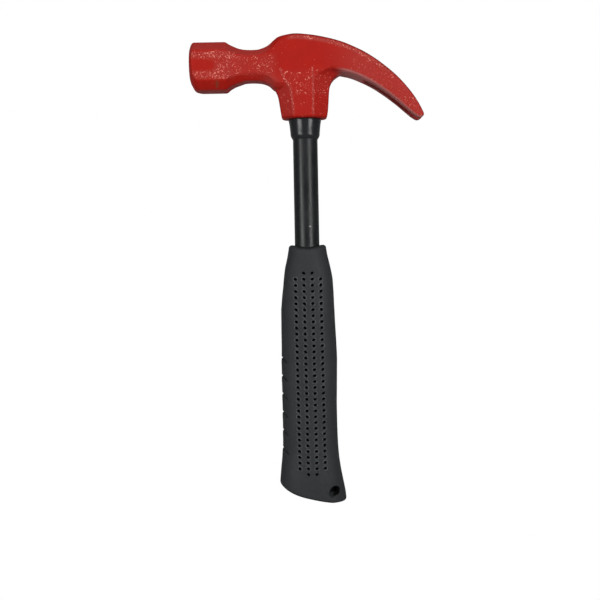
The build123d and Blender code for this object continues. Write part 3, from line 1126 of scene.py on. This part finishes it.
def rim_group():
    """Pale rims round the air holes, partly wear and partly painted highlight.

    Each is a ring at a set distance from the nearest whole column and row.
    """
    inputs = [
        ("Grid", "Vector", None),
        ("Column Pitch", "Float", 5.08),
        ("Row Pitch", "Float", 3.55),
        ("Ring Radius", "Float", 1.35),
        ("Ring Width", "Float", 0.4),
    ]
    tree, given, out = new_group("Hole rims", inputs, [("Mask", "Float")])
    grid = tree.nodes.new("ShaderNodeSeparateXYZ")
    tree.links.new(given.outputs[0], grid.inputs[0])
    away = []
    for axis, last in ((0, 3.0), (1, 32.0)):
        rounded = calc(tree, "MAXIMUM", calc(tree, "ROUND", grid.outputs[axis]), 0.0)
        whole = calc(tree, "MINIMUM", rounded, last)
        steps = calc(tree, "SUBTRACT", grid.outputs[axis], whole)
        away.append(calc(tree, "MULTIPLY", steps, given.outputs[1 + axis]))
    squares = [calc(tree, "MULTIPLY", part, part) for part in away]
    distance = calc(tree, "SQRT", calc(tree, "ADD", *squares))
    off = calc(tree, "ABSOLUTE", calc(tree, "SUBTRACT", distance, given.outputs[3]))
    feed(tree, out.inputs[0], spread(tree, off, 0.0, given.outputs[4], 1.0, 0.0))
    return tree


GROUP_NAMES = {
    glint_grain_group: "Grain glints",
    edge_group: "Worn and glinting edges",
    relief_group: "Surface relief",
    mottle_group: "Handling and dust",
    rim_group: "Hole rims",
}


def use_group(tree, maker, **values):
    """Node of a shared group, made on first use; underscores in the keywords stand for spaces."""
    node = tree.nodes.new("ShaderNodeGroup")
    node.node_tree = bpy.data.node_groups.get(GROUP_NAMES[maker]) or maker()
    for name, value in values.items():
        feed(tree, node.inputs[name.replace("_", " ")], value)
    return node


def object_place(tree):
    """Each point's place on the piece."""
    return tree.nodes.new("ShaderNodeTexCoord").outputs["Object"]


def bump(tree, height, strength, distance):
    """Normal of a surface raised by height, up to distance in metres."""
    node = tree.nodes.new("ShaderNodeBump")
    feed(tree, node.inputs["Height"], height)
    feed(tree, node.inputs["Strength"], strength)
    feed(tree, node.inputs["Distance"], distance)
    return node.outputs[0]


DARKER_RED = (0.33, 0.010, 0.007, 1)
# Painted reflection of the white floor under the claw, and painted shade in the nail slot and along the
# crown.
FLOOR_REFLECTION_RED = (0.45, 0.16, 0.15, 1)
PAINTED_SHADE_RED = (0.10, 0.007, 0.006, 1)


def head_paint():
    """Red textured paint whose grains and painted glints, painted sheen, painted floor reflection and shade,
    and rub mark follow the head's finish attribute.
    """
    p = bpy.context.scene.hammer_head
    material, nodes, links = fresh_material("Red textured paint")
    tree = material.node_tree
    shader = nodes["Principled BSDF"]
    place = object_place(tree)
    finish = nodes.new("ShaderNodeAttribute")
    finish.attribute_name = "finish"
    parts = nodes.new("ShaderNodeSeparateColor")
    links.new(finish.outputs["Color"], parts.inputs[0])
    grain_and_glint, sheen_share, rubbed = parts.outputs[:3]
    # alpha above zero: painted floor reflection; below zero: painted shade
    reflection_share = calc(tree, "MULTIPLY", finish.outputs["Alpha"], 0.8, clamp=True)
    shade_share = calc(tree, "MULTIPLY", finish.outputs["Alpha"], -0.85, clamp=True)
    mottle = use_group(tree, mottle_group, Vector=place, Scale=90.0, Dust=0.35)
    edges = use_group(tree, edge_group, Vector=place, Bend_From=0.54, Bend_To=0.62, Break_Up=0.46)
    # bent edges get more painted glints, as highlights on the head's edges
    cover = calc(tree, "ADD", grain_and_glint, calc(tree, "MULTIPLY", edges.outputs[0], 0.35), clamp=True)
    grains = use_group(tree, glint_grain_group, Vector=place, Cover=cover, Grain_Scale=1250.0, Softness=0.10)
    base = blend(tree, calc(tree, "MULTIPLY", mottle.outputs[0], 0.25), p.colour, DARKER_RED)
    # painted sheen, from the finish attribute and the grains' fine sheen
    fine_sheen = calc(tree, "MULTIPLY", grains.outputs[1], 0.5)
    sheen = calc(tree, "ADD", calc(tree, "MULTIPLY", sheen_share, 0.75), fine_sheen, clamp=True)
    base = blend(tree, sheen, base, p.sheen_tint)
    base = blend(tree, rubbed, base, p.rub)
    base = blend(tree, reflection_share, base, FLOOR_REFLECTION_RED)
    base = blend(tree, shade_share, base, PAINTED_SHADE_RED)
    # painted highlights: glint colour on the brightest grains
    base = blend(tree, grains.outputs[0], base, p.glint)
    feed(tree, shader.inputs["Base Color"], base)
    rough = calc(tree, "SUBTRACT", 0.52, calc(tree, "MULTIPLY", grains.outputs[0], 0.18))
    feed(tree, shader.inputs["Roughness"], rough)
    shader.inputs["Specular IOR Level"].default_value = 0.12
    relief = use_group(
        tree, relief_group, Vector=place, Coarse_Scale=420.0, Fine_Scale=1300.0, Fine_Share=0.6
    )
    lumps = calc(tree, "MULTIPLY_ADD", grains.outputs[0], 0.6, relief.outputs[0])
    strength = spread(tree, grain_and_glint, 0.0, 0.8, 0.25, 0.8)
    feed(tree, shader.inputs["Normal"], bump(tree, lumps, strength, 0.00022))
    return material


DUST_GREY = (0.10, 0.105, 0.11, 1)
FLECK_GREY = (0.5, 0.5, 0.5, 1)
# Painted contact shadow on the tube just above the grip's rim.
CONTACT_SHADOW_BLACK = (0.001, 0.001, 0.001, 1)


def black_finish(name, colour, roughness, gloss, relief_depth, fleck=None, shadow_under=None):
    """Black paint or plastic with fine relief and slow changes of gloss.

    If asked for, it has one pale fleck at a place, and a matt painted shadow below a height that is lower
    towards the broad sides, as the rim of the grip is. Places and heights are in metres.
    """
    material, nodes, links = fresh_material(name)
    tree = material.node_tree
    shader = nodes["Principled BSDF"]
    place = object_place(tree)
    mottle = use_group(tree, mottle_group, Vector=place, Scale=70.0, Dust=0.25)
    lighter = tuple(min(1.0, c * 1.6 + 0.003) for c in colour[:3]) + (1.0,)
    base = blend(tree, calc(tree, "MULTIPLY", mottle.outputs[0], 0.4), tuple(colour), lighter)
    base = blend(tree, calc(tree, "MULTIPLY", mottle.outputs[1], 0.5), base, DUST_GREY)
    if fleck is not None:
        away = nodes.new("ShaderNodeVectorMath")
        away.operation = "DISTANCE"
        links.new(place, away.inputs[0])
        away.inputs[1].default_value = fleck
        spot = spread(tree, away.outputs["Value"], 0.0003, 0.0007, 0.75, 0.0)
        base = blend(tree, spot, base, FLECK_GREY)
    rough = spread(tree, mottle.outputs[0], 0.0, 1.0, roughness - 0.04, roughness + 0.06)
    # painted contact shadow: matt black on the tube below the grip's dipping rim
    if shadow_under is not None:
        axis = nodes.new("ShaderNodeSeparateXYZ")
        links.new(place, axis.inputs[0])
        out_from_middle = calc(tree, "DIVIDE", axis.outputs[1], TUBE_RADIUS * MM)
        sag = calc(tree, "MULTIPLY", calc(tree, "POWER", out_from_middle, 2.0), RIM_DIP * MM)
        out_of_shadow = spread(tree, calc(tree, "ADD", axis.outputs[2], sag), shadow_under, shadow_under + 0.0006)
        in_shadow = calc(tree, "SUBTRACT", 1.0, out_of_shadow)
        base = blend(tree, in_shadow, base, CONTACT_SHADOW_BLACK)
        rough = calc(tree, "ADD", rough, calc(tree, "MULTIPLY", in_shadow, 0.6), clamp=True)
    feed(tree, shader.inputs["Base Color"], base)
    feed(tree, shader.inputs["Roughness"], rough)
    shader.inputs["Specular IOR Level"].default_value = gloss
    relief = use_group(
        tree, relief_group, Vector=place, Coarse_Scale=350.0, Fine_Scale=1600.0, Fine_Share=0.7
    )
    feed(tree, shader.inputs["Normal"], bump(tree, relief.outputs[0], 0.5, relief_depth))
    return material


RUST = (0.20, 0.11, 0.06, 1)


def turned_steel():
    """Bare turned steel with faint rings round the axis and a little rust."""
    p = bpy.context.scene.hammer_handle
    material, nodes, _ = fresh_material("Turned steel")
    tree = material.node_tree
    shader = nodes["Principled BSDF"]
    place = object_place(tree)
    rings = nodes.new("ShaderNodeTexWave")
    rings.wave_type = "RINGS"
    rings.rings_direction = "Z"
    feed(tree, rings.inputs["Vector"], place)
    rings.inputs["Scale"].default_value = 900.0
    rings.inputs["Distortion"].default_value = 1.0
    mottle = use_group(tree, mottle_group, Vector=place, Scale=300.0, Dust=0.5)
    rust = calc(tree, "MULTIPLY", mottle.outputs[0], 0.35)
    feed(tree, shader.inputs["Base Color"], blend(tree, rust, p.steel_colour, RUST))
    feed(tree, shader.inputs["Roughness"], spread(tree, rings.outputs[1], 0.0, 1.0, 0.28, 0.42))
    shader.inputs["Metallic"].default_value = 1.0
    feed(tree, shader.inputs["Normal"], bump(tree, rings.outputs[1], 0.3, 0.00004))
    return material


# Painted shade inside the air holes and the cord hole.
HOLE_SHADE_BLACK = (0.002, 0.002, 0.002, 1)


def grip_rubber():
    """Charcoal rubber: fine moulded relief, paler worn edges, a little dust, hole rims paled by wear and
    painted highlight, and painted shade in the holes.
    """
    p = bpy.context.scene.hammer_grip
    material, nodes, links = fresh_material("Charcoal rubber")
    tree = material.node_tree
    shader = nodes["Principled BSDF"]
    place = object_place(tree)
    mottle = use_group(tree, mottle_group, Vector=place, Scale=55.0, Dust=0.5)
    edges = use_group(tree, edge_group, Vector=place, Bend_From=0.53, Bend_To=0.68, Break_Up=0.15)
    shade_down = tuple(c * 0.8 for c in p.colour[:3]) + (1.0,)
    base = blend(tree, calc(tree, "MULTIPLY", mottle.outputs[0], 0.5), tuple(p.colour), shade_down)
    base = blend(tree, calc(tree, "MULTIPLY", edges.outputs[0], 0.4), base, p.dust)
    grid = nodes.new("ShaderNodeAttribute")
    grid.attribute_name = "air_holes"
    rims = use_group(tree, rim_group, Grid=grid.outputs["Vector"])
    numbers = nodes.new("ShaderNodeSeparateXYZ")
    links.new(grid.outputs["Vector"], numbers.inputs[0])
    deep = calc(tree, "MULTIPLY", numbers.outputs[2], 1.0, clamp=True)
    patchy = spread(tree, noise(tree, place, 650.0, 2.0), 0.36, 0.6)
    # pale rims: partly wear, partly painted highlight
    rim_wear_and_highlight = calc(tree, "MULTIPLY", calc(tree, "MULTIPLY", rims.outputs[0], patchy), 0.65)
    base = blend(tree, rim_wear_and_highlight, base, p.dust)
    # painted shade inside the holes
    base = blend(tree, deep, base, HOLE_SHADE_BLACK)
    base = blend(tree, calc(tree, "MULTIPLY", mottle.outputs[1], 0.35), base, p.dust)
    feed(tree, shader.inputs["Base Color"], base)
    rough = spread(tree, mottle.outputs[0], 0.0, 1.0, 0.55, 0.66)
    feed(tree, shader.inputs["Roughness"], calc(tree, "MULTIPLY_ADD", deep, 0.4, rough, clamp=True))
    shader.inputs["Specular IOR Level"].default_value = 0.22
    relief = use_group(
        tree, relief_group, Vector=place, Coarse_Scale=500.0, Fine_Scale=1900.0, Fine_Share=0.8
    )
    feed(tree, shader.inputs["Normal"], bump(tree, relief.outputs[0], 0.6, 0.00009))
    return material


def finish_piece(obj, node, material):
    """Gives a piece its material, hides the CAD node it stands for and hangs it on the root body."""
    obj.data.materials.clear()
    obj.data.materials.append(material)
    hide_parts(node)
    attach(obj, "root")


# ---------------------------------------------------------------- stage

# (depth, height) of the floor and the sweep behind it, mm
SWEEP = [(-900, 0), (300, 0), (420, 12), (520, 60), (590, 150), (620, 300), (625, 1400)]
SWEEP_STEPS = 60
SWEEP_HALF_WIDTH = 1600.0
UNDER_HAMMER = 0.05  # gap between the butt and the floor, mm

LIT_PLACE = (0, 0, 0.16)
# name, place in metres, watts, width and height in metres
SOFTBOXES = (
    ("Key softbox", (0.62, -0.80, 0.55), 3.2, (0.18, 0.60)),
    ("Fill softbox", (-0.85, -0.75, 0.42), 2.3, (0.16, 0.60)),
    ("Top softbox", (0.0, -1.15, 0.90), 3.7, (1.1, 0.5)),
    ("Low softbox right", (0.75, -0.90, 0.04), 3.0, (0.5, 0.14)),
    ("Low softbox left", (-0.75, -0.90, 0.04), 3.0, (0.5, 0.14)),
)
SENSOR_WIDTH = 36.0


def white_paper(p):
    """Matt paper for the floor; the camera sees it evenly white, as an overexposed sweep looks."""
    paper, nodes, links = fresh_material("White paper")
    shader = nodes["Principled BSDF"]
    shader.inputs["Base Color"].default_value = (*[p.paper] * 3, 1)
    shader.inputs["Roughness"].default_value = 0.9
    glow = nodes.new("ShaderNodeEmission")
    glow.inputs["Strength"].default_value = p.backdrop
    path = nodes.new("ShaderNodeLightPath")
    mix = nodes.new("ShaderNodeMixShader")
    links.new(path.outputs["Is Camera Ray"], mix.inputs["Fac"])
    links.new(shader.outputs["BSDF"], mix.inputs[1])
    links.new(glow.outputs["Emission"], mix.inputs[2])
    links.new(mix.outputs["Shader"], nodes["Material Output"].inputs["Surface"])
    return paper


def soft_world(scene, p):
    """Even dim light all round, seen by the camera as plain white."""
    world = bpy.data.worlds.new("Soft studio")
    scene.world = world
    world.use_nodes = True
    nodes, links = world.node_tree.nodes, world.node_tree.links
    around = nodes["Background"]
    around.inputs["Color"].default_value = (1, 1, 1, 1)
    around.inputs["Strength"].default_value = p.ambient
    seen = nodes.new("ShaderNodeBackground")
    seen.inputs["Color"].default_value = (1, 1, 1, 1)
    seen.inputs["Strength"].default_value = p.backdrop
    path = nodes.new("ShaderNodeLightPath")
    mix = nodes.new("ShaderNodeMixShader")
    links.new(path.outputs["Is Camera Ray"], mix.inputs["Fac"])
    links.new(around.outputs["Background"], mix.inputs[1])
    links.new(seen.outputs["Background"], mix.inputs[2])
    links.new(mix.outputs["Shader"], nodes["World Output"].inputs["Surface"])


def add_floor(p):
    """Floor that curves up behind the hammer: a smooth profile drawn out along X."""
    path = path_through(np.linspace(0, 1, SWEEP_STEPS), SWEEP)
    width = np.array([-SWEEP_HALF_WIDTH, SWEEP_HALF_WIDTH])
    depth = np.repeat(path[:, :1], 2, axis=1)
    height = np.repeat(path[:, 1:], 2, axis=1) - UNDER_HAMMER
    grid = np.stack([np.tile(width, (SWEEP_STEPS, 1)), depth, height], axis=-1)
    i = np.arange(SWEEP_STEPS - 1) * 2
    faces = np.stack([i, i + 1, i + 3, i + 2], axis=1).tolist()
    floor = new_object("studio_floor", (grid.reshape(-1, 3), faces))
    floor.data.shade_smooth()
    floor.data.materials.append(white_paper(p))


def add_light(name, place, target, power, size):
    """Rectangular softbox at a place, facing a target; size is its width and height in metres."""
    data = bpy.data.lights.new(name, "AREA")
    data.energy = power
    data.shape = "RECTANGLE"
    data.size, data.size_y = size
    light = bpy.data.objects.new(name, data)
    bpy.context.scene.collection.objects.link(light)
    light.location = place
    light.rotation_euler = (Vector(target) - Vector(place)).to_track_quat("-Z", "Y").to_euler()


def add_camera(scene, p):
    """Camera that looks along +Y, rolled a little, with its view shifted down to frame the hammer."""
    data = bpy.data.cameras.new("Camera")
    camera = bpy.data.objects.new("Camera", data)
    scene.collection.objects.link(camera)
    data.sensor_width = SENSOR_WIDTH
    data.lens = SENSOR_WIDTH * p.distance / p.frame_width
    data.shift_y = -p.drop / p.frame_width
    data.clip_start, data.clip_end = 0.01, 20
    right = np.array([math.cos(p.tilt), 0, -math.sin(p.tilt)])
    up = np.array([math.sin(p.tilt), 0, math.cos(p.tilt)])
    back = np.array([0, -1, 0])
    turn = Matrix(np.stack([right, up, back], axis=1).tolist()).to_4x4()
    camera.matrix_world = Matrix.Translation((p.side * MM, -p.distance * MM, p.height * MM)) @ turn
    scene.camera = camera


# ---------------------------------------------------------------- operators

class HAMMER_OT_head(bpy.types.Operator):
    """Forged head with its nail slot and eye"""

    bl_idname = "hammer.head"
    bl_label = "Head"

    def execute(self, context):
        finish_piece(make_head(), "claw_head", head_paint())
        return {"FINISHED"}


class HAMMER_OT_handle(bpy.types.Operator):
    """Tube, collar and the plugs in the tube's ends"""

    bl_idname = "hammer.handle"
    bl_label = "Handle"

    def execute(self, context):
        p = context.scene.hammer_handle
        tube_paint = black_finish(
            "Satin black paint",
            p.tube_colour,
            roughness=0.33,
            gloss=0.42,
            relief_depth=0.00003,
            fleck=(0.0020, -0.0072, 0.1664),
            # painted contact shadow where the tube enters the grip
            shadow_under=0.1556,
        )
        collar_plastic = black_finish(
            "Gloss black plastic", p.collar_colour, roughness=0.19, gloss=0.42, relief_depth=0.00002
        )
        plug_plastic = black_finish(
            "Dark plastic", p.plug_colour, roughness=0.5, gloss=0.5, relief_depth=0.00004
        )
        finish_piece(make_tube(), "handle_tube", tube_paint)
        finish_piece(make_collar(), "neck_collar", collar_plastic)
        finish_piece(make_expander(), "expander_plug", turned_steel())
        finish_piece(make_end_plug(), "tube_end_plug", plug_plastic)
        return {"FINISHED"}


class HAMMER_OT_grip(bpy.types.Operator):
    """Rubber grip with its air holes"""

    bl_idname = "hammer.grip"
    bl_label = "Grip"

    def execute(self, context):
        finish_piece(make_grip(), "grip", grip_rubber())
        return {"FINISHED"}


class HAMMER_OT_stage(bpy.types.Operator):
    """Floor, backdrop, lights and camera"""

    bl_idname = "hammer.stage"
    bl_label = "Stage"

    def execute(self, context):
        scene = context.scene
        p = scene.hammer_stage
        add_floor(p)
        scene.view_settings.view_transform = "Standard"
        soft_world(scene, p)
        for name, place, power, size in SOFTBOXES:
            add_light(name, place, LIT_PLACE, power, size)
        add_camera(scene, p)
        return {"FINISHED"}


class HAMMER_PT_panel(bpy.types.Panel):
    """Lists the hammer's pieces"""

    bl_idname = "HAMMER_PT_panel"
    bl_label = "Claw Hammer"
    bl_space_type = "VIEW_3D"
    bl_region_type = "UI"
    bl_category = "Claw Hammer"

    def draw(self, context):
        for name in OPERATORS:
            self.layout.operator(name.bl_idname)


# ---------------------------------------------------------------- registration

GROUPS = {
    "hammer_head": HammerHeadSizes,
    "hammer_handle": HandleSizes,
    "hammer_grip": GripSizes,
    "hammer_stage": StageSizes,
}
OPERATORS = (HAMMER_OT_head, HAMMER_OT_handle, HAMMER_OT_grip, HAMMER_OT_stage)


def register():
    for name, group in GROUPS.items():
        bpy.utils.register_class(group)
        setattr(bpy.types.Scene, name, bpy.props.PointerProperty(type=group))
    for operator in OPERATORS:
        bpy.utils.register_class(operator)
    bpy.utils.register_class(HAMMER_PT_panel)


def unregister():
    bpy.utils.unregister_class(HAMMER_PT_panel)
    for operator in reversed(OPERATORS):
        bpy.utils.unregister_class(operator)
    for name, group in reversed(list(GROUPS.items())):
        delattr(bpy.types.Scene, name)
        bpy.utils.unregister_class(group)


def main():
    """Builds the hammer and its stage."""
    register()
    for operator in OPERATORS:
        section, name = operator.bl_idname.split(".")
        getattr(getattr(bpy.ops, section), name)()


if __name__ == "__main__":
    main()
